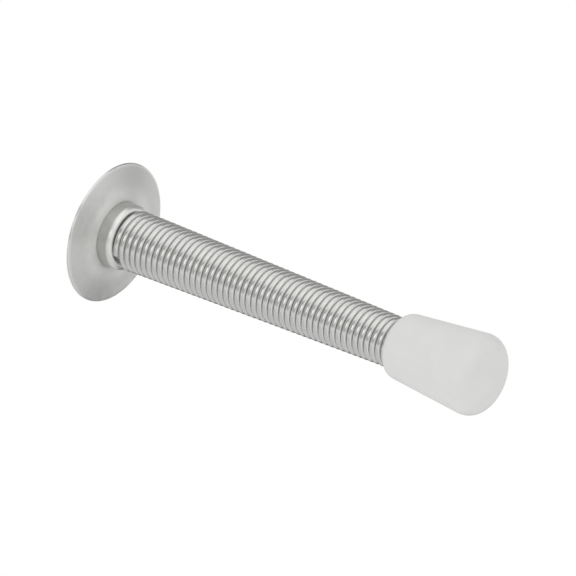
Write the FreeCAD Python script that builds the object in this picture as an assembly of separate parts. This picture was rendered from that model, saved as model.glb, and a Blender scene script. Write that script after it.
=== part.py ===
"""Spring door stop: a pressed wall rose, a turned boss, a close-wound tapered spring and a rubber tip.

Millimetres. The wall is the plane X = 0, the stop's axis is +X, and +Z is up.
"""
import math
import os

import FreeCAD
import Part
from FreeCAD import Vector

# Overall reach from the wall to the middle of the rubber face
projection = 82.5

# Pressed wall rose
plate_diameter = 25.2
plate_sheet = 0.75
plate_height = 1.1
plate_level_diameter = 14.0
plate_rim_edge = 0.3
plate_rim_round = 0.25

# Turned boss, staked through the rose
boss_diameter = 11.8
boss_height = 3.0
boss_edge_round = 1.0
boss_tail_diameter = 6.4
boss_tail_fit = 0.02
spigot_length = 4.5
spigot_lead = 0.4
screw_hole_diameter = 3.8
screw_head_well_diameter = 6.8

# Close-wound spring of round wire
wire_diameter = 1.19
coil_gap = 0.02
spring_root_diameter = 10.85
spring_end_diameter = 8.8
spring_seat_gap = 0.03
spigot_fit = 0.06
# How far past the top, towards +Y, the wire's cut end lies at the wall
spring_start_turn = 260.0

# Rubber tip
tip_length = 19.4
tip_rear_diameter = 11.44
tip_front_diameter = 15.0
tip_rear_land = 0.2
tip_rear_round = 1.6
tip_front_round = 3.0
tip_face_crown = 0.6
tip_grip = 6.0
tip_fit = 0.06

# Places along the axis that follow from the sizes above
shoulder_x = plate_height + boss_height
spigot_end_x = shoulder_x + spigot_length
wire_radius = wire_diameter / 2
spring_pitch = wire_diameter + coil_gap
spring_start_x = shoulder_x + spring_seat_gap + wire_radius
tip_rear_x = projection - tip_length
spring_turns = round((tip_rear_x + tip_grip - spring_start_x) / spring_pitch)
spring_end_x = spring_start_x + spring_turns * spring_pitch

AXIS = Vector(1, 0, 0)
ORIGIN = Vector(0, 0, 0)
FULL_TURN = 360.0
SAME_SIZE = 1e-6


def at(x, radius):
    """A point of a half profile: x along the axis, radius above it."""
    return Vector(x, 0, radius)


def line(start, end):
    return Part.LineSegment(start, end).toShape()


def arc(start, middle, end):
    return Part.Arc(start, middle, end).toShape()


def polar(centre, radius, degrees):
    """A point on a circle of the half profile; 0 degrees points outwards along the radius."""
    turn = math.radians(degrees)
    return centre + at(math.sin(turn) * radius, math.cos(turn) * radius)


def turned(edges):
    """A solid of revolution about the axis from a closed half profile."""
    return Part.Face(Part.Wire(edges)).revolve(ORIGIN, AXIS, FULL_TURN)


def rounded(solid, rim_radius, round_radius):
    """The turned solid with its foremost circular edge of one radius rounded over."""
    curves = [edge for edge in solid.Edges if not edge.Degenerated]
    circles = [edge for edge in curves if edge.Curve.TypeId == "Part::GeomCircle"]
    rims = [edge for edge in circles if abs(edge.Curve.Radius - rim_radius) < SAME_SIZE]
    foremost = max(rims, key=lambda edge: edge.Curve.Center.x)
    return solid.makeFillet(round_radius, [foremost]).Solids[0]


def spring_radius(x):
    """Outer radius of the spring, which tapers evenly from its first turn to its last."""
    share = (x - spring_start_x) / (spring_end_x - spring_start_x)
    root = spring_root_diameter / 2
    end = spring_end_diameter / 2
    return root + (end - root) * share


def make_base_plate():
    """Pressed sheet: a level middle that carries the boss, and an arched edge that comes down to the wall."""
    rim = plate_diameter / 2
    level = plate_level_diameter / 2
    hole = boss_tail_diameter / 2 + boss_tail_fit
    back_x = plate_height - plate_sheet

    # The arch leaves the level middle smoothly and ends at the rim's edge
    rise = plate_height - plate_rim_edge
    arch_radius = ((rim - level) ** 2 + rise ** 2) / (2 * rise)
    arch_centre = at(plate_height - arch_radius, level)
    arch_end = math.degrees(math.acos((rim - level) / arch_radius))
    inner_radius = arch_radius - plate_sheet
    foot = level + math.sqrt(inner_radius ** 2 - arch_centre.x ** 2)
    foot_end = math.degrees(math.acos((foot - level) / inner_radius))

    def arch(radius, end):
        return arc(polar(arch_centre, radius, end), polar(arch_centre, radius, (end + 90) / 2),
                   polar(arch_centre, radius, 90))

    edges = [
        line(at(0, foot), at(0, rim)),
        line(at(0, rim), polar(arch_centre, arch_radius, arch_end)),
        arch(arch_radius, arch_end),
        line(at(plate_height, level), at(plate_height, hole)),
        line(at(plate_height, hole), at(back_x, hole)),
        line(at(back_x, hole), at(back_x, level)),
        arch(inner_radius, foot_end),
    ]
    return rounded(turned(Part.__sortEdges__(edges)), rim, plate_rim_round)


def make_spring_boss():
    """Collar on the plate, a tail through it to the wall, and a hollow spigot inside the first turns."""
    collar = boss_diameter / 2
    tail = boss_tail_diameter / 2
    hole = screw_hole_diameter / 2
    well = screw_head_well_diameter / 2

    def spigot_radius(x):
        return spring_radius(x) - wire_diameter - spigot_fit

    lead_x = spigot_end_x - spigot_lead
    points = [
        at(0, hole),
        at(0, tail),
        at(plate_height, tail),
        at(plate_height, collar),
        at(shoulder_x, collar),
        at(shoulder_x, spigot_radius(shoulder_x)),
        at(lead_x, spigot_radius(lead_x)),
        at(spigot_end_x, spigot_radius(lead_x) - spigot_lead),
        at(spigot_end_x, well),
        at(shoulder_x, well),
        at(shoulder_x, hole),
        at(0, hole),
    ]
    edges = [line(a, b) for a, b in zip(points, points[1:])]
    return rounded(turned(edges), collar, boss_edge_round)


def make_spring():
    """Round wire along half circles, each tilted to climb half a pitch, so that neighbours join smoothly."""
    halves = 2 * spring_turns

    def station(index):
        x = spring_start_x + index * spring_pitch / 2
        side = 1 if index % 2 == 0 else -1
        return at(x, side * (spring_radius(x) - wire_radius))

    def half_turn(index):
        start = station(index)
        end = station(index + 1)
        side = 1 if index % 2 == 0 else -1
        bulge = Vector(0, side * (end - start).Length / 2, 0)
        return arc(start, (start + end) / 2 + bulge, end)

    path = Part.Wire([half_turn(index) for index in range(halves)])
    section = Part.Wire(Part.makeCircle(wire_radius, station(0), Vector(0, 1, 0)))
    wire = path.makePipeShell([section], True, False)
    return wire.rotate(ORIGIN, AXIS, -spring_start_turn)


def make_tip():
    """Flared rubber bumper: rounded behind and in front, with a crowned face and a bore for the spring."""
    front = tip_front_diameter / 2
    rear = tip_rear_diameter / 2
    mouth = spring_radius(tip_rear_x) + tip_fit
    bottom_x = spring_end_x + wire_radius + spring_seat_gap
    bottom = spring_radius(bottom_x) + tip_fit
    edge_x = projection - tip_face_crown
    flare = (front - rear) / (edge_x - tip_rear_x)

    # The rear round runs from the flat land at the mouth and ends smoothly on the flared wall
    land = at(tip_rear_x, mouth + tip_rear_land)
    round_end_x = tip_rear_x + tip_rear_round
    round_end = at(round_end_x, rear + flare * tip_rear_round)
    inward = at(flare, -1).normalize()
    chord = land - round_end
    round_radius = chord.Length ** 2 / (2 * chord.dot(inward))
    round_centre = round_end + inward * round_radius
    halfway = (land + round_end) / 2 - round_centre
    round_middle = round_centre + halfway.normalize() * round_radius

    crown_radius = (front ** 2 + tip_face_crown ** 2) / (2 * tip_face_crown)
    half_angle = math.degrees(math.asin(front / crown_radius)) / 2
    crown_centre = at(projection - crown_radius, 0)
    crown_middle = polar(crown_centre, crown_radius, 90 - half_angle)
    edges = [
        line(at(tip_rear_x, mouth), land),
        arc(land, round_middle, round_end),
        line(round_end, at(edge_x, front)),
        arc(at(edge_x, front), crown_middle, at(projection, 0)),
        line(at(projection, 0), at(bottom_x, 0)),
        line(at(bottom_x, 0), at(bottom_x, bottom)),
        line(at(bottom_x, bottom), at(tip_rear_x, mouth)),
    ]
    return rounded(turned(edges), front, tip_front_round)


os.makedirs("parts", exist_ok=True)
pieces = {
    "base_plate": make_base_plate(),
    "spring_boss": make_spring_boss(),
    "spring": make_spring(),
    "tip": make_tip(),
}
for name, shape in pieces.items():
    shape.exportStep(f"parts/{name}.step")
    box = shape.optimalBoundingBox(True, False)
    print(name, shape.ShapeType, "valid" if shape.isValid() else "broken", "volume", round(shape.Volume, 2),
          "x", round(box.XMin, 3), round(box.XMax, 3), "radius", round(box.ZMax, 3))
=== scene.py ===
# %% [markdown]
# # A spring door stop
# The part is a wall-mounted stop: a pressed steel rose, a turned boss, a close-wound tapered
# spring and a white rubber tip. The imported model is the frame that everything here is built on.
# It is in metres, with the wall at X = 0 and the stop's axis along +X, so a piece that is
# modelled at its real place needs no fitting.

# %% Load the frame
import math

import bmesh
import bpy
from mathutils import Matrix, Vector


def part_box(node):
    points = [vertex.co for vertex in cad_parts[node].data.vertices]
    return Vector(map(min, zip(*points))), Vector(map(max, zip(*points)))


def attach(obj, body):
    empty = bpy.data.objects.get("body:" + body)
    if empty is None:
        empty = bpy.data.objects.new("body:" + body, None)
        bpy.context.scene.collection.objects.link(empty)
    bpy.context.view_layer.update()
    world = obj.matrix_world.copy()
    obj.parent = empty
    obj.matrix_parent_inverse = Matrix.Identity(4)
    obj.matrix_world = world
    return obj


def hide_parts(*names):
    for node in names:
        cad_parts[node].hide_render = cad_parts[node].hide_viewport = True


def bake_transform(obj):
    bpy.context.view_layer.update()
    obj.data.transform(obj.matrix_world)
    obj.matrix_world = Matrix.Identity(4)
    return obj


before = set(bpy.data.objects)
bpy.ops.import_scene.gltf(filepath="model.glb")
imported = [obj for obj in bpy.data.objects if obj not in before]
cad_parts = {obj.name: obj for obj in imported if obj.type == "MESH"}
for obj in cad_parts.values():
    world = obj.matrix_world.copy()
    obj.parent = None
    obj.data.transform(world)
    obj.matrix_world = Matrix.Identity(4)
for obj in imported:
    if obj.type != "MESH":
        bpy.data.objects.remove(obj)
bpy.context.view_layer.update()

MM = 0.001
ROSE_LOW, ROSE_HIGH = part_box("base_plate")
BOSS_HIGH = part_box("spring_boss")[1]
SPRING_LOW, SPRING_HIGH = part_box("spring")
TIP_LOW, TIP_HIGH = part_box("tip")

# %% [markdown]
# ## The camera
# The picture was taken from in front, above and to the tip's side, with a long lens: lines that
# are parallel on the object stay nearly parallel. The angles and the distance were found by
# laying the part's outline over the picture. Moving the camera sideways, and not turning it,
# puts the object where the picture has it.

# %% Camera at the photograph's angle
PICTURE_WIDTH = 576
AZIMUTH = math.radians(38.7)
ELEVATION = math.radians(29.2)
DISTANCE = 1.348
PIXELS_PER_MM = 5.853
# Where the middle of the stop lies in the picture
PIXELS_RIGHT_OF_CENTRE = 10.8
PIXELS_BELOW_CENTRE = 16.7

camera_back = Vector((
    math.sin(AZIMUTH) * math.cos(ELEVATION),
    -math.cos(AZIMUTH) * math.cos(ELEVATION),
    math.sin(ELEVATION),
))
camera_right = Vector((math.cos(AZIMUTH), math.sin(AZIMUTH), 0))
camera_up = camera_back.cross(camera_right)
metres_per_pixel = MM / PIXELS_PER_MM
middle = Vector((TIP_HIGH.x / 2, 0, 0))

camera_data = bpy.data.cameras.new("photo_camera")
camera = bpy.data.objects.new("photo_camera", camera_data)
bpy.context.scene.collection.objects.link(camera)
camera.location = (
    middle
    + camera_back * DISTANCE
    - camera_right * PIXELS_RIGHT_OF_CENTRE * metres_per_pixel
    + camera_up * PIXELS_BELOW_CENTRE * metres_per_pixel
)
camera.rotation_mode = "QUATERNION"
camera.rotation_quaternion = (-camera_back).to_track_quat("-Z", "Y")
camera_data.lens = camera_data.sensor_width * DISTANCE / (PICTURE_WIDTH * metres_per_pixel)
camera_data.clip_start = 0.01
camera_data.clip_end = 10
bpy.context.scene.camera = camera
print("camera at", [round(value, 3) for value in camera.location],
      "with a lens of", round(camera_data.lens), "mm")

# %% [markdown]
# ## Nodes and colours
# Colours are written as the sRGB values that a picture program shows. The shaders work in linear
# light, so one function turns them over. One more function adds a shader node with its settings
# and links, which keeps each material short enough to read as a recipe.

# %% Helpers for materials
def linear(hex_colour):
    """An sRGB hex colour as linear red, green, blue and alpha, by the standard's own curve."""
    channels = [int(hex_colour[place:place + 2], 16) / 255 for place in (1, 3, 5)]
    flat = [c / 12.92 if c <= 0.04045 else ((c + 0.055) / 1.055) ** 2.4 for c in channels]
    return (*flat, 1.0)


def add(tree, kind, inputs=None, **settings):
    """Adds a node; an input is a value, or another node's output to link from."""
    made = tree.nodes.new(kind)
    for name, value in settings.items():
        setattr(made, name, value)
    for key, value in (inputs or {}).items():
        if isinstance(value, bpy.types.NodeSocket):
            tree.links.new(value, made.inputs[key])
        else:
            made.inputs[key].default_value = value
    return made


def new_material(name):
    """A material with an empty node tree and its output node."""
    material = bpy.data.materials.new(name)
    material.use_nodes = True
    material.node_tree.nodes.clear()
    return material, material.node_tree, add(material.node_tree, "ShaderNodeOutputMaterial")


print("white is", linear("#FFFFFF"), "and middle grey", round(linear("#808080")[0], 3))

# %% [markdown]
# ## The studio
# The picture shows the stop on plain white. A shiny wire shows whatever stands round it, so the
# studio matters more than the metal. A picture of a room could light it, but a sky, boards and
# lamps can be moved one at a time, until each band of the coil lies where the photograph has it.
# The sky comes first. It has to be pure white to look at, and yet not so strong that it bleaches
# the rubber, so Light Path tells the two apart: the camera and the reflections see white, and
# matt surfaces are lit by a dimmer sky.

# %% Sky
WHITE = linear("#FFFFFF")
SKY_LIGHT = 0.82


def rays_that_see_white(tree):
    """1 for camera, glossy and transmission rays, which see the plain white surroundings."""
    path = add(tree, "ShaderNodeLightPath")
    seen = path.outputs["Is Camera Ray"]
    for ray in ("Is Glossy Ray", "Is Transmission Ray"):
        seen = add(tree, "ShaderNodeMath", {0: seen, 1: path.outputs[ray]},
                   operation="MAXIMUM").outputs[0]
    return seen


world = bpy.data.worlds.new("white_studio")
world.use_nodes = True
tree = world.node_tree
tree.nodes.clear()
sky = add(tree, "ShaderNodeBackground", {"Color": WHITE, "Strength": SKY_LIGHT})
plain_white = add(tree, "ShaderNodeBackground", {"Color": WHITE, "Strength": 1.0})
both = add(tree, "ShaderNodeMixShader",
           {0: rays_that_see_white(tree), 1: sky.outputs[0], 2: plain_white.outputs[0]})
add(tree, "ShaderNodeOutputWorld", {"Surface": both.outputs[0]})
bpy.context.scene.world = world
bpy.context.scene.view_settings.view_transform = "Standard"
print("sky:", world.name, "with a light of", SKY_LIGHT)

# %% [markdown]
# The floor is matt white paint, a hand's width below the stop. Near the stop it takes a soft
# shadow. Further off, its paint gives way to a plain white glow, so that no line shows where the
# floor ends and the sky begins.

# %% Floor
FLOOR_DROP = 0.10
FLOOR_SIZE = 6.0
GLOW_NEAR = 0.08
FADE_NEAR, FADE_FAR = 0.12, 0.30


def stage_board(name, centre, across, up, material):
    """A flat board of the studio, from its middle and its two half sides."""
    shape = bmesh.new()
    bmesh.ops.create_grid(shape, x_segments=1, y_segments=1, size=1.0)
    axes = Matrix((across, up, across.cross(up).normalized())).transposed().to_4x4()
    bmesh.ops.transform(shape, matrix=Matrix.Translation(centre) @ axes, verts=shape.verts)
    mesh = bpy.data.meshes.new(name)
    shape.to_mesh(mesh)
    shape.free()
    board = bpy.data.objects.new(name, mesh)
    bpy.context.scene.collection.objects.link(board)
    mesh.materials.append(material)
    return board


floor_paint, tree, output = new_material("matt_white_floor")
place = add(tree, "ShaderNodeTexCoord").outputs["Object"]
reach = add(tree, "ShaderNodeVectorMath", {0: place, 1: middle}, operation="DISTANCE")
near = add(tree, "ShaderNodeMapRange",
           {"Value": reach.outputs["Value"], "From Min": FADE_NEAR, "From Max": FADE_FAR,
            "To Min": 1.0, "To Max": 0.0}, interpolation_type="SMOOTHSTEP").outputs[0]
glow_left = add(tree, "ShaderNodeMapRange", {"Value": near, "To Min": 1.0, "To Max": GLOW_NEAR})
paint = add(tree, "ShaderNodeBsdfDiffuse", {"Color": WHITE})
near_paint = add(tree, "ShaderNodeBsdfDiffuse", {"Color": near})
glow = add(tree, "ShaderNodeEmission", {"Color": WHITE, "Strength": glow_left.outputs[0]})
shown = add(tree, "ShaderNodeAddShader", {0: near_paint.outputs[0], 1: glow.outputs[0]})
floor_mix = add(tree, "ShaderNodeMixShader",
                {0: rays_that_see_white(tree), 1: paint.outputs[0], 2: shown.outputs[0]})
tree.links.new(floor_mix.outputs[0], output.inputs["Surface"])

floor_centre = Vector((middle.x, 0, ROSE_LOW.z - FLOOR_DROP))
half_floor = FLOOR_SIZE / 2
stage_board("floor", floor_centre, Vector((half_floor, 0, 0)), Vector((0, half_floor, 0)), floor_paint)
print("floor at a height of", round(floor_centre.z, 3))

# %% [markdown]
# Grey felt boards stand round the stop, as round any shiny thing in a studio. They draw the dark
# lines above and below the bright rows of the coil, and the darker sides of the rose and the
# collar. The two boards on the floor under the stop are no felt: they are a painted shadow of the
# floor beneath it, darkest under the rose. Only reflections see them, so they neither stand in
# the picture nor shade the rubber. Their grey is a plain glow, so it stays the same when a lamp
# is moved.

# %% Felt boards
# Each board: its middle, half its width and half its height in metres, and its grey
BOARDS = {
    "low_front": ((-0.10, -0.62, 0.075), (0.70, 0, 0), (0, 0, 0.10), "#C8C8C8"),
    "mid_front": ((-0.55, -0.62, 0.34), (0.42, 0, 0), (0, 0, 0.16), "#C8C8C8"),
    "high_front": ((-0.26, -0.62, 0.71), (0.71, 0, 0), (0, 0, 0.21), "#B8B8B8"),
    "behind": ((-0.55, 0.60, 0.42), (-0.88, 0, 0), (0, 0, 0.49), "#A8A8A8"),
    "wall_side": ((-0.75, 0, 0.20), (0, 0.9, 0), (0, 0, 0.32), "#C8C8C8"),
    # Painted shadow: this dark board stands for the shade on the floor under the rose
    "painted_shadow_under_rose": ((-0.065, 0.0925, -0.105), (0.15, 0, 0), (0, 0.0725, 0), "#787878"),
    # Painted shadow: this light grey board stands for the shade on the floor under the spring
    "painted_shadow_under_spring": ((-0.10, -0.17, -0.105), (0.22, 0, 0), (0, 0.20, 0), "#E6E6E6"),
}
for name, (centre, across, up, grey) in BOARDS.items():
    felt, tree, output = new_material(f"felt_{name}")
    dim_face = add(tree, "ShaderNodeEmission", {"Color": linear(grey), "Strength": 1.0})
    tree.links.new(dim_face.outputs[0], output.inputs["Surface"])
    board = stage_board(f"board_{name}", Vector(centre), Vector(across), Vector(up), felt)
    board.visible_camera = False
    board.visible_diffuse = False
    board.visible_shadow = False
print("boards:", ", ".join(BOARDS))

# %% [markdown]
# Two soft boxes overhead give the bright upper band of the coil, and a small one in front gives
# the row of bright spots along its middle. The rubber is lit by the sky, these boxes and a fill
# lamp. No reflection sees that lamp, so the metal can stay dark beside a bright tip.

# %% Soft boxes
def soft_box(name, centre, size, radiance):
    """An area lamp aimed at the object, given by how bright its face looks."""
    lamp = bpy.data.lights.new(name, "AREA")
    lamp.shape = "RECTANGLE"
    lamp.size, lamp.size_y = size
    lamp.energy = radiance * math.pi * size[0] * size[1]
    made = bpy.data.objects.new(name, lamp)
    bpy.context.scene.collection.objects.link(made)
    made.location = centre
    made.rotation_mode = "QUATERNION"
    made.rotation_quaternion = (middle - centre).to_track_quat("-Z", "Y")
    print(name, "gives", round(lamp.energy, 3), "W")
    return made


soft_box("overhead_box", centre=Vector((-0.20, 0.06, 0.66)), size=(1.00, 0.62), radiance=0.21)
soft_box("tip_side_box", centre=Vector((0.44, -0.08, 0.62)), size=(0.40, 0.40), radiance=0.40)
soft_box("key_box", centre=Vector((0.19, -0.60, 0.33)), size=(0.36, 0.22), radiance=0.75)
fill_box = soft_box("fill_box", centre=Vector((0.40, -0.60, 0.62)), size=(0.50, 0.40), radiance=0.95)
fill_box.visible_glossy = False

# %% [markdown]
# ## The finishes
# Three of the four pieces are nickel plated, and what tells them apart is how their surfaces were
# made before the plating. A metal's colour lives in its reflections, so one short function links
# a plated metal, and each finish then draws its own marks for it: a shade, a roughness and a
# height.

# %% What the plated pieces share
# Nearly all values of a noise lie in this span
NOISE_SPAN = {"From Min": 0.3, "From Max": 0.7}


def plated_metal(tree, output, colour, shade, roughness, height, height_mm, **more):
    """Links a metal: a colour times a shade, a roughness, a relief of a real height, and more."""
    tint = add(tree, "ShaderNodeVectorMath", {0: linear(colour)[:3], "Scale": shade},
               operation="SCALE")
    relief = add(tree, "ShaderNodeBump",
                 {"Height": height, "Strength": 1.0, "Distance": height_mm * MM})
    metal = add(tree, "ShaderNodeBsdfPrincipled",
                {"Base Color": tint.outputs[0], "Metallic": 1.0, "Roughness": roughness,
                 "Normal": relief.outputs[0], **more})
    tree.links.new(metal.outputs[0], output.inputs["Surface"])


def away_from_axis(tree, place):
    """The arrow from the stop's axis out to a point, and its length."""
    arrow = add(tree, "ShaderNodeVectorMath", {0: place, 1: (0, 1, 1)},
                operation="MULTIPLY").outputs[0]
    return arrow, add(tree, "ShaderNodeVectorMath", {0: arrow}, operation="LENGTH").outputs["Value"]


print("noise is read from", NOISE_SPAN["From Min"], "to", NOISE_SPAN["From Max"])

# %% [markdown]
# The rose was pressed from sheet, brushed while it turned about its middle, and plated. The brush
# leaves fine arcs round the axis, so light spreads across them, outwards from the middle, and
# hardly along them: the shader's stretched roughness does that, with the direction away from the
# axis as its tangent. A ring of painted light brightens the level middle round the boss, cloths
# polish the rim, and the corner by the boss is darker and rougher. All of these follow the
# distance from the axis, so they need no painted map.

# %% Satin nickel on pressed steel: soft fans of light and dark, painted light round the middle, a brighter rim
# Real brush marks are some hundredths of a millimetre apart. They are drawn wider here, so that
# they show.
BRUSH_MM = 0.25
BRUSH_DEPTH_MM = 0.004
BRUSH_ARC = math.radians(20)
BRUSH_STRETCH = 0.90
CLOUD_MM = 1.6
SATIN_ROUGHNESS = {"To Min": 0.47, "To Max": 0.55}
SATIN_SHADE = {"To Min": 0.93, "To Max": 1.04}
# Each zone: where it begins and is full, in mm from the axis, and what it adds to roughness and shade
ROSE_ZONES = {
    "rubbed rim": (11.9, 12.6, -0.15, 0.05),
    # The corner by the boss is darker and rougher
    "darker corner": (6.5, 5.9, 0.08, -0.07),
    # Painted light: the level middle round the boss is painted brighter, as if more light fell there
    "painted light ring": (9.8, 7.4, 0.0, 0.16),
}

satin_nickel, tree, output = new_material("satin_nickel_on_pressed_steel")
place = add(tree, "ShaderNodeTexCoord").outputs["Object"]
arrow, radius = away_from_axis(tree, place)
outwards = add(tree, "ShaderNodeVectorMath", {0: arrow}, operation="NORMALIZE").outputs[0]
round_axis = add(tree, "ShaderNodeVectorMath", {0: outwards, "Scale": 1 / BRUSH_ARC},
                 operation="SCALE")
rings = add(tree, "ShaderNodeMath", {0: radius, 1: BRUSH_MM * MM}, operation="DIVIDE")
rings = add(tree, "ShaderNodeCombineXYZ", {"X": rings.outputs[0]})
marks = add(tree, "ShaderNodeVectorMath", {0: round_axis.outputs[0], 1: rings.outputs[0]},
            operation="ADD")
brush = add(tree, "ShaderNodeTexNoise", {"Vector": marks.outputs[0], "Scale": 1.0, "Detail": 2.0})
cloud = add(tree, "ShaderNodeTexNoise",
            {"Vector": place, "Scale": 1 / (CLOUD_MM * MM), "Detail": 4.0}).outputs["Fac"]
satin = add(tree, "ShaderNodeMapRange", {"Value": cloud, **NOISE_SPAN, **SATIN_ROUGHNESS})
shade = add(tree, "ShaderNodeMapRange", {"Value": cloud, **NOISE_SPAN, **SATIN_SHADE})
for begins_mm, full_mm, rougher, lighter in ROSE_ZONES.values():
    zone = add(tree, "ShaderNodeMapRange",
               {"Value": radius, "From Min": begins_mm * MM, "From Max": full_mm * MM},
               interpolation_type="SMOOTHSTEP").outputs[0]
    satin = add(tree, "ShaderNodeMath", {0: zone, 1: rougher, 2: satin.outputs[0]},
                operation="MULTIPLY_ADD")
    shade = add(tree, "ShaderNodeMath", {0: zone, 1: lighter, 2: shade.outputs[0]},
                operation="MULTIPLY_ADD")
plated_metal(tree, output, "#D8D8D6", shade.outputs[0], satin.outputs[0], brush.outputs["Fac"],
             BRUSH_DEPTH_MM, Anisotropic=BRUSH_STRETCH, Tangent=outwards)
print("rose:", satin_nickel.name, "with brush marks", BRUSH_MM, "mm apart and a",
      ", a ".join(ROSE_ZONES))

# %% [markdown]
# The boss came off a lathe, and the tool leaves a fine thread of rings all over it. On the
# collar's wall they follow one another along the axis, on its front along the radius, so X less
# the radius counts them everywhere, and over the rounded shoulder too. A wave of that count makes
# the rings. The collar's wall is painted darker and its shoulder brighter: a painted shade below
# a painted highlight.

# %% Nickel plate on turned steel: soft gloss, broken by fine rings
# Real tool marks are about 0.1 mm apart. They are drawn wider here, so that they show.
RING_MM = 0.28
RING_DEPTH_MM = 0.002
RING_ROUGHER = 0.04
STAIN_MM = 2.0
TURNED_ROUGHNESS = {"To Min": 0.30, "To Max": 0.36}
TURNED_SHADE = {"To Min": 0.96, "To Max": 1.02}
# Where along the axis the painted shade of the wall gives way to the painted highlight of the shoulder
WALL_SHADE_TO_SHOULDER_LIGHT_MM = (2.9, 3.5)
WALL_SHADE_AND_SHOULDER_LIGHT = {"To Min": 0.93, "To Max": 1.16}
# At a scale of 1, Blender's wave texture repeats after this length
WAVE_UNIT = math.pi / 10

turned_nickel, tree, output = new_material("nickel_plate_on_turned_steel")
place = add(tree, "ShaderNodeTexCoord").outputs["Object"]
along = add(tree, "ShaderNodeSeparateXYZ", {0: place}).outputs["X"]
radius = away_from_axis(tree, place)[1]
count = add(tree, "ShaderNodeMath", {0: along, 1: radius}, operation="SUBTRACT")
count = add(tree, "ShaderNodeCombineXYZ", {"X": count.outputs[0]})
rings = add(tree, "ShaderNodeTexWave",
            {"Vector": count.outputs[0], "Scale": WAVE_UNIT / (RING_MM * MM), "Distortion": 0.0},
            wave_type="BANDS", bands_direction="X", wave_profile="SIN").outputs["Fac"]
stain = add(tree, "ShaderNodeTexNoise",
            {"Vector": place, "Scale": 1 / (STAIN_MM * MM), "Detail": 3.0}).outputs["Fac"]
gloss = add(tree, "ShaderNodeMapRange", {"Value": stain, **NOISE_SPAN, **TURNED_ROUGHNESS})
gloss = add(tree, "ShaderNodeMath", {0: rings, 1: RING_ROUGHER, 2: gloss.outputs[0]},
            operation="MULTIPLY_ADD")
# Painted shade on the collar's wall, painted highlight on its rounded shoulder
painted_wall_and_shoulder = add(tree, "ShaderNodeMapRange",
               {"Value": along, "From Min": WALL_SHADE_TO_SHOULDER_LIGHT_MM[0] * MM, "From Max": WALL_SHADE_TO_SHOULDER_LIGHT_MM[1] * MM,
                **WALL_SHADE_AND_SHOULDER_LIGHT}, interpolation_type="SMOOTHSTEP")
shade = add(tree, "ShaderNodeMapRange", {"Value": stain, **TURNED_SHADE})
shade = add(tree, "ShaderNodeMath", {0: shade.outputs[0], 1: painted_wall_and_shoulder.outputs[0]},
            operation="MULTIPLY")
plated_metal(tree, output, "#D2D2D0", shade.outputs[0], gloss.outputs[0], rings, RING_DEPTH_MM)
print("boss:", turned_nickel.name, "with rings", RING_MM, "mm apart")

# %% [markdown]
# The wire was drawn through a die, which leaves fine streaks along it, then coiled and bright
# plated. The streaks have to follow the wire round, so each vertex of the coil will remember its
# place on the wire while it was still straight: how far along, and where in the section. Noise
# that is stretched along that wire gives the streaks. The outer side of the coil is rubbed
# bright, and the plating is thinner and duller between the turns.

# %% Bright nickel plate on drawn wire: a clear mirror, so each turn carries its own light and dark line
# Real die marks are a few hundredths of a millimetre wide. They are drawn wider here, so that
# they show.
STREAK_LENGTH_MM = 9.0
STREAK_WIDTH_MM = 0.10
STREAK_DEPTH_MM = 0.001
TARNISH_MM = 6.0
WIRE_ROUGHNESS = {"To Min": 0.17, "To Max": 0.25}
WIRE_SHADE = {"To Min": 0.97, "To Max": 1.03}
# How far outside the middle of the wire's section the dull plating starts to fade, and ends
DULL_MM = (0.10, 0.45)
DULL_ROUGHER = 0.08
WIRE_PLACE = "place_on_straight_wire"

bright_wire, tree, output = new_material("bright_nickel_on_drawn_wire")
straight = add(tree, "ShaderNodeAttribute", attribute_type="GEOMETRY",
               attribute_name=WIRE_PLACE).outputs["Vector"]
per_length = 1 / (STREAK_LENGTH_MM * MM)
per_width = 1 / (STREAK_WIDTH_MM * MM)
stretched = add(tree, "ShaderNodeVectorMath", {0: straight, 1: (per_length, per_width, per_width)},
                operation="MULTIPLY")
streaks = add(tree, "ShaderNodeTexNoise",
              {"Vector": stretched.outputs[0], "Scale": 1.0, "Detail": 2.0}).outputs["Fac"]
tarnish = add(tree, "ShaderNodeTexNoise",
              {"Vector": straight, "Scale": 1 / (TARNISH_MM * MM), "Detail": 2.0}).outputs["Fac"]
outside = add(tree, "ShaderNodeSeparateXYZ", {0: straight}).outputs["Z"]
dull = add(tree, "ShaderNodeMapRange",
           {"Value": outside, "From Min": DULL_MM[0] * MM, "From Max": DULL_MM[1] * MM,
            "To Min": 1.0, "To Max": 0.0}, interpolation_type="SMOOTHSTEP").outputs[0]
gloss = add(tree, "ShaderNodeMapRange", {"Value": streaks, **NOISE_SPAN, **WIRE_ROUGHNESS})
gloss = add(tree, "ShaderNodeMath", {0: dull, 1: DULL_ROUGHER, 2: gloss.outputs[0]},
            operation="MULTIPLY_ADD")
shade = add(tree, "ShaderNodeMapRange", {"Value": tarnish, **NOISE_SPAN, **WIRE_SHADE})
plated_metal(tree, output, "#CFCFCD", shade.outputs[0], gloss.outputs[0], streaks, STREAK_DEPTH_MM)
print("spring:", bright_wire.name, "with streaks", STREAK_LENGTH_MM, "mm long")

# %% [markdown]
# The tip is moulded rubber. One flat white would look like paper. A blasted mould gives the real
# tip a fine matt grain, the mix is never quite even in tone, and doors polish its front edge, which
# therefore catches the light as a soft crescent. Rubber is no metal, so its colour is its own, and
# only a weak gloss lies over it.

# %% Moulded white rubber: matt and milky, a little smoother round its front edge
# The grain of a blasted mould is about 0.1 mm. It is drawn coarser here, so that it shows.
GRAIN_MM = 0.35
GRAIN_DEPTH_MM = 0.006
MIX_MM = 4.0
RUBBER_IOR = 1.5
RUBBER_ROUGHNESS = {"To Min": 0.52, "To Max": 0.64}
# Where along the axis the wear of the front edge begins and is full
WORN_MM = (79.2, 81.0)
WORN_SMOOTHER = -0.14

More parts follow.
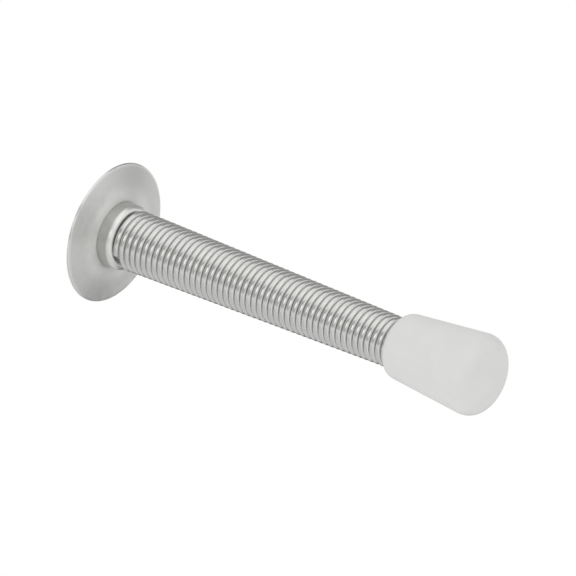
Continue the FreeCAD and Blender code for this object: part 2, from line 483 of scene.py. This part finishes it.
white_rubber, tree, output = new_material("moulded_white_rubber")
place = add(tree, "ShaderNodeTexCoord").outputs["Object"]
along = add(tree, "ShaderNodeSeparateXYZ", {0: place}).outputs["X"]
grain = add(tree, "ShaderNodeTexNoise",
            {"Vector": place, "Scale": 1 / (GRAIN_MM * MM), "Detail": 3.0}).outputs["Fac"]
mix = add(tree, "ShaderNodeTexNoise",
          {"Vector": place, "Scale": 1 / (MIX_MM * MM), "Detail": 3.0}).outputs["Fac"]
# Of the Mix node's sockets, inputs 6 and 7 and output 2 are the ones for colours
tone = add(tree, "ShaderNodeMix", {0: mix, 6: linear("#D6D6D4"), 7: linear("#DEDEDC")},
           data_type="RGBA").outputs[2]
worn = add(tree, "ShaderNodeMapRange",
           {"Value": along, "From Min": WORN_MM[0] * MM, "From Max": WORN_MM[1] * MM},
           interpolation_type="SMOOTHSTEP").outputs[0]
matt = add(tree, "ShaderNodeMapRange", {"Value": grain, **RUBBER_ROUGHNESS})
matt = add(tree, "ShaderNodeMath", {0: worn, 1: WORN_SMOOTHER, 2: matt.outputs[0]},
           operation="MULTIPLY_ADD")
relief = add(tree, "ShaderNodeBump",
             {"Height": grain, "Strength": 1.0, "Distance": GRAIN_DEPTH_MM * MM})
rubber = add(tree, "ShaderNodeBsdfPrincipled",
             {"Base Color": tone, "Roughness": matt.outputs[0], "IOR": RUBBER_IOR,
              "Normal": relief.outputs[0]})
tree.links.new(rubber.outputs[0], output.inputs["Surface"])
print("tip:", white_rubber.name, "with a grain of", GRAIN_MM, "mm")

# %% [markdown]
# ## A pen for turned shapes
# The rose, the boss and the tip are all round about one axis. Each starts as a half outline in
# the X-Z plane, drawn by a pen that goes straight to a point or swings about a centre, and one
# full spin about the axis then makes the body. Swinging one vertex with the spin operator gives
# true arcs without a list of points.

# %% Pen and lathe
AXIS = (1, 0, 0)
ACROSS = (0, 1, 0)
FULL_TURN = 2 * math.pi
LATHE_STEPS = 144
SAME_PLACE = 0.0001 * MM


def pen_down(shape, x, radius):
    """Starts an outline at a point: x along the axis, radius above it."""
    return shape.verts.new((x, 0, radius))


def go(shape, pen, x, radius):
    """Draws a straight line from the pen's vertex to a point of the outline."""
    grown = bmesh.ops.extrude_vert_indiv(shape, verts=[pen])
    end = grown["verts"][0]
    end.co = (x, 0, radius)
    return end


def swing(shape, pen, x, radius, degrees, steps):
    """Draws an arc about a centre; positive degrees turn from +X away from the axis."""
    swept = bmesh.ops.spin(shape, geom=[pen], cent=(x, 0, radius), axis=ACROSS,
                           angle=-math.radians(degrees), steps=steps, use_duplicate=False)
    return next(item for item in swept["geom_last"] if isinstance(item, bmesh.types.BMVert))


def lathe(shape):
    """Spins the outline once round the axis and closes it into one clean skin."""
    bmesh.ops.spin(shape, geom=shape.verts[:] + shape.edges[:], cent=(0, 0, 0), axis=AXIS,
                   angle=FULL_TURN, steps=LATHE_STEPS, use_merge=True, use_duplicate=False)
    bmesh.ops.remove_doubles(shape, verts=shape.verts, dist=SAME_PLACE)
    bmesh.ops.dissolve_degenerate(shape, edges=shape.edges, dist=SAME_PLACE)
    bmesh.ops.recalc_face_normals(shape, faces=shape.faces)


print("a full turn of the lathe has", LATHE_STEPS, "steps")

# %% [markdown]
# A turned shape then needs its hard edges broken, because a perfectly sharp edge catches no
# light. And each shape becomes a finished piece in the same way: it is shaded smooth except at
# its sharp corners, gets its finish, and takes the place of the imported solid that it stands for.

# %% Edges and finished pieces
ON_RING = 0.001 * MM


def bevel(shape, edges, width, segments):
    """Rounds the given edges."""
    bmesh.ops.bevel(shape, geom=edges, offset=width, offset_type="OFFSET", affect="EDGES",
                    segments=segments, profile=0.5, material=-1)


def soften(shape, x, radius, width, segments):
    """Rounds the circular edge that lies at one place and radius."""
    def on_ring(vert):
        off_radius = math.hypot(vert.co.y, vert.co.z) - radius
        return abs(vert.co.x - x) < ON_RING and abs(off_radius) < ON_RING

    ring = [edge for edge in shape.edges if all(on_ring(vert) for vert in edge.verts)]
    bevel(shape, ring, width, segments)


def finished(name, shape, material, node, sharp_degrees):
    """Turns a bmesh into a smooth-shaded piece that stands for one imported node."""
    mesh = bpy.data.meshes.new(name)
    shape.to_mesh(mesh)
    shape.free()
    mesh.shade_smooth()
    mesh.set_sharp_from_angle(angle=math.radians(sharp_degrees))
    mesh.materials.append(material)
    piece = bpy.data.objects.new(name, mesh)
    bpy.context.scene.collection.objects.link(piece)
    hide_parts(node)
    size = [round(side / MM, 2) for side in piece.dimensions]
    print(name, "size in mm:", size, "polygons:", len(mesh.polygons))
    return piece


print("edges are found to", ON_RING / MM, "mm")

# %% [markdown]
# ## The rose
# A disc of sheet is pressed so that its middle stays level and its edge arches down to the wall,
# which lets the rim bear on uneven plaster. One surface with a Solidify modifier could make it,
# but its back would not end flat on the wall. So the same outline is drawn twice, once for the
# front and once a sheet's thickness behind it. The sheared rim gets a small bevel, which shows as
# a thin line of light.

# %% Pressed rose
SHEET = 0.75 * MM
RIM_EDGE = 0.3 * MM
RIM_BEVEL = 0.19 * MM
LEVEL_RADIUS = 7.0 * MM
ROSE_HOLE = 3.22 * MM
rim_radius = ROSE_HIGH.z
rose_height = ROSE_HIGH.x
rise = rose_height - RIM_EDGE
arch_round = ((rim_radius - LEVEL_RADIUS) ** 2 + rise ** 2) / (2 * rise)
arch_x = rose_height - arch_round


def rose_side(shape, depth, rim_degrees):
    """One face of the sheet, from the rim to the hole; depth is how far it lies behind the front."""
    start = math.radians(rim_degrees)
    edge = pen_down(shape, arch_x + (arch_round - depth) * math.sin(start),
                    LEVEL_RADIUS + (arch_round - depth) * math.cos(start))
    pen = swing(shape, edge, arch_x, LEVEL_RADIUS, -(90 - rim_degrees), steps=24)
    return edge, go(shape, pen, rose_height - depth, ROSE_HOLE)


rose_shape = bmesh.new()
front_rim = math.degrees(math.acos((rim_radius - LEVEL_RADIUS) / arch_round))
back_rim = math.degrees(math.asin(-arch_x / (arch_round - SHEET)))
front_edge, front_hole = rose_side(rose_shape, 0, front_rim)
back_edge, back_hole = rose_side(rose_shape, SHEET, back_rim)
rim_foot = go(rose_shape, front_edge, 0, rim_radius)
rose_shape.edges.new((rim_foot, back_edge))
rose_shape.edges.new((front_hole, back_hole))
lathe(rose_shape)
soften(rose_shape, RIM_EDGE, rim_radius, RIM_BEVEL, segments=6)
rose = finished("rose", rose_shape, satin_nickel, "base_plate", sharp_degrees=35)
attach(rose, "wall_base")

# %% [markdown]
# ## The boss
# A turned piece holds the spring: a collar on the rose's level middle, a tail that is staked
# through the sheet and a hollow spigot inside the first turns. Little of it shows, but its
# rounded shoulder is the bright ring at the root of the spring, so that edge gets a wide bevel
# with enough segments to look round. At the back, the edges of the tail and of the screw hole are
# only broken.

# %% Turned boss
WIRE = 1.19 * MM
SPIGOT_FIT = 0.06 * MM
SCREW_HOLE = 1.9 * MM
HEAD_WELL = 3.4 * MM
TAIL_RADIUS = 3.2 * MM
SPIGOT_LEAD = 0.4 * MM
SHOULDER_BEVEL = 1.0 * MM
EDGE_BREAK = 0.12 * MM
SHOULDER_X = 4.1 * MM
SPRING_ROOT = 5.425 * MM
SPRING_END = 4.4 * MM
collar_radius = BOSS_HIGH.z
spigot_end_x = BOSS_HIGH.x
spring_start_x = SPRING_LOW.x + WIRE / 2
spring_end_x = SPRING_HIGH.x - WIRE / 2


def spring_radius(x):
    """Outer radius of the spring, which tapers evenly from the first turn to the last."""
    share = (x - spring_start_x) / (spring_end_x - spring_start_x)
    return SPRING_ROOT + (SPRING_END - SPRING_ROOT) * share


def spigot_radius(x):
    """Radius of the spigot, which tapers with the spring around it."""
    return spring_radius(x) - WIRE - SPIGOT_FIT


boss_shape = bmesh.new()
lead_x = spigot_end_x - SPIGOT_LEAD
boss_corners = [
    (0, TAIL_RADIUS),
    (rose_height, TAIL_RADIUS),
    (rose_height, collar_radius),
    (SHOULDER_X, collar_radius),
    (SHOULDER_X, spigot_radius(SHOULDER_X)),
    (lead_x, spigot_radius(lead_x)),
    (spigot_end_x, spigot_radius(lead_x) - SPIGOT_LEAD),
    (spigot_end_x, HEAD_WELL),
    (SHOULDER_X, HEAD_WELL),
    (SHOULDER_X, SCREW_HOLE),
]
pen = first = pen_down(boss_shape, 0, SCREW_HOLE)
for x, radius in boss_corners:
    pen = go(boss_shape, pen, x, radius)
boss_shape.edges.new((pen, first))
lathe(boss_shape)
soften(boss_shape, SHOULDER_X, collar_radius, SHOULDER_BEVEL, segments=10)
soften(boss_shape, 0, TAIL_RADIUS, EDGE_BREAK, segments=3)
soften(boss_shape, 0, SCREW_HOLE, EDGE_BREAK, segments=3)
boss = finished("boss", boss_shape, turned_nickel, "spring_boss", sharp_degrees=40)
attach(boss, "wall_base")

# %% [markdown]
# ## The spring
# The coil is one length of round wire, wound close. A Screw modifier or a curve with a round
# bevel could make it, but a coil of mesh lets each vertex keep its place on the wire. So a ring
# of vertices is spun about the axis with a small step forwards each time, which is how a spring
# winder works. That makes one turn, and its copies, each a pitch further on, join end to end.

# %% Wind the wire
COIL_GAP = 0.02 * MM
CUT_END_PAST_TOP = math.radians(260)
WIRE_SIDES = 14
STEPS_PER_TURN = 48
TURN_JOINT = 0.001 * MM
pitch = WIRE + COIL_GAP
turns = round((spring_end_x - spring_start_x) / pitch)
mean_radius = SPRING_ROOT - WIRE / 2

spring_shape = bmesh.new()
at_top = Matrix.Translation((spring_start_x, 0, mean_radius)) @ Matrix.Rotation(math.pi / 2, 4, "X")
bmesh.ops.create_circle(spring_shape, cap_ends=False, radius=WIRE / 2, segments=WIRE_SIDES,
                        matrix=Matrix.Rotation(-CUT_END_PAST_TOP, 4, "X") @ at_top)
bmesh.ops.spin(spring_shape, geom=spring_shape.verts[:] + spring_shape.edges[:], cent=(0, 0, 0),
               axis=AXIS, dvec=(pitch / STEPS_PER_TURN, 0, 0), angle=-FULL_TURN,
               steps=STEPS_PER_TURN, use_merge=False, use_duplicate=False)
one_turn = spring_shape.verts[:] + spring_shape.edges[:] + spring_shape.faces[:]
for turn in range(1, turns):
    copied = bmesh.ops.duplicate(spring_shape, geom=one_turn)["geom"]
    bmesh.ops.translate(spring_shape, vec=(turn * pitch, 0, 0),
                        verts=[item for item in copied if isinstance(item, bmesh.types.BMVert)])
bmesh.ops.remove_doubles(spring_shape, verts=spring_shape.verts, dist=TURN_JOINT)
print("turns:", turns, "pitch in mm:", round(pitch / MM, 3))

# %% [markdown]
# The spring tapers towards the tip. Scaling it would flatten the wire, so each vertex is moved in
# towards the axis by the taper at its place, and the section stays round all the way. Before it
# moves, each vertex writes down its place on the straight wire for the finish. The ends were cut
# square by a winder's shear, so they are flat, with a small bevel.

# %% Taper the coil and cut its ends
CUT_BEVEL = 0.08 * MM

wire_place = spring_shape.verts.layers.float_vector.new(WIRE_PLACE)
for vert in spring_shape.verts:
    arrow = Vector((0, vert.co.y, vert.co.z))
    past_cut = (math.atan2(vert.co.y, vert.co.z) - CUT_END_PAST_TOP) / FULL_TURN % 1
    turn = round((vert.co.x - spring_start_x) / pitch - past_cut) + past_cut
    off_centre = vert.co.x - spring_start_x - turn * pitch
    vert[wire_place] = (turn * FULL_TURN * mean_radius, off_centre, arrow.length - mean_radius)
    vert.co += arrow.normalized() * (spring_radius(vert.co.x) - SPRING_ROOT)
cut_edges = [edge for edge in spring_shape.edges if edge.is_boundary]
bmesh.ops.edgeloop_fill(spring_shape, edges=cut_edges)
bmesh.ops.recalc_face_normals(spring_shape, faces=spring_shape.faces)
bevel(spring_shape, cut_edges, CUT_BEVEL, segments=2)
spring = finished("coil", spring_shape, bright_wire, "spring", sharp_degrees=60)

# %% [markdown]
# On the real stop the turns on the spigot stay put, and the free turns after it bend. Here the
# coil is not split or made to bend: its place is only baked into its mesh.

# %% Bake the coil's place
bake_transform(spring)

# %% [markdown]
# ## The tip
# A flared bumper of moulded rubber is pushed over the last turns. Its back edge is rolled in to
# the wire, its face is slightly crowned, and a large round joins the face to the wall. Bevels on
# a plain cone would leave the face flat and the rounds meeting it at an angle. So the arcs are
# worked out first, and each one starts where the last line ends, along the same direction.

# %% Arcs of the tip
TIP_REAR_RADIUS = 5.72 * MM
TIP_FRONT_RADIUS = 7.5 * MM
REAR_LAND = 0.2 * MM
REAR_ROUND_LENGTH = 1.6 * MM
FRONT_ROUND = 3.0 * MM
FACE_CROWN = 0.6 * MM
TIP_FIT = 0.06 * MM
reach_x = TIP_HIGH.x
rear_x = TIP_LOW.x
edge_x = reach_x - FACE_CROWN
flare = (TIP_FRONT_RADIUS - TIP_REAR_RADIUS) / (edge_x - rear_x)
mouth = spring_radius(rear_x) + TIP_FIT


def wall_radius(x):
    """Outer radius of the tip's flared wall."""
    return TIP_REAR_RADIUS + flare * (x - rear_x)


# Rear round: a circle that touches the wall and passes through the edge of the land
land = Vector((rear_x, 0, mouth + REAR_LAND))
rear_end_x = rear_x + REAR_ROUND_LENGTH
rear_end = Vector((rear_end_x, 0, wall_radius(rear_end_x)))
inward = Vector((flare, 0, -1)).normalized()
chord = land - rear_end
rear_round = chord.length_squared / (2 * chord.dot(inward))
rear_centre = rear_end + inward * rear_round
rear_degrees = math.degrees((land - rear_centre).angle(rear_end - rear_centre))

# Front round: a circle that touches the wall and the crown from inside. So its middle lies on a line
# that runs along the wall, a round's radius inside it, and where that line is as far from the crown's
# middle as the crown's radius less the round's.
crown_round = (TIP_FRONT_RADIUS ** 2 + FACE_CROWN ** 2) / (2 * FACE_CROWN)
crown_x = reach_x - crown_round
offset = wall_radius(crown_x) - FRONT_ROUND * math.hypot(1, flare)
slope = 1 + flare ** 2
half = offset * flare / slope
past_crown = math.sqrt(half ** 2 - (offset ** 2 - (crown_round - FRONT_ROUND) ** 2) / slope) - half
front_centre = Vector((crown_x + past_crown, 0, offset + flare * past_crown))
front_start = front_centre - inward * FRONT_ROUND
crown_degrees = math.degrees(math.atan2(front_centre.z, past_crown))
front_degrees = 90 + math.degrees(math.atan(flare)) - crown_degrees
print("tip rounds in mm:", round(rear_round / MM, 2), "behind,", FRONT_ROUND / MM, "in front")

# %% [markdown]
# With the arcs known, the pen draws the half outline in one go: out along the bottom of the bore,
# back along the bore to the mouth, round the back edge, along the wall, round the front and over
# the crown to the axis. The lathe closes it.

# %% Rubber tip
SEAT_GAP = 0.03 * MM
bore_x = SPRING_HIGH.x + SEAT_GAP

tip_shape = bmesh.new()
pen = pen_down(tip_shape, bore_x, 0)
pen = go(tip_shape, pen, bore_x, spring_radius(bore_x) + TIP_FIT)
pen = go(tip_shape, pen, rear_x, mouth)
pen = go(tip_shape, pen, land.x, land.z)
pen = swing(tip_shape, pen, rear_centre.x, rear_centre.z, -rear_degrees, steps=12)
pen = go(tip_shape, pen, front_start.x, front_start.z)
pen = swing(tip_shape, pen, front_centre.x, front_centre.z, -front_degrees, steps=20)
swing(tip_shape, pen, crown_x, 0, -crown_degrees, steps=16)
lathe(tip_shape)
tip = finished("rubber_tip", tip_shape, white_rubber, "tip", sharp_degrees=50)
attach(tip, "flexing_end")

# %% [markdown]
# ## Finish
# The dressed part has to keep the imported part's size; each piece printed its size as it
# was made.

# %% Finish
print("all four pieces are built")
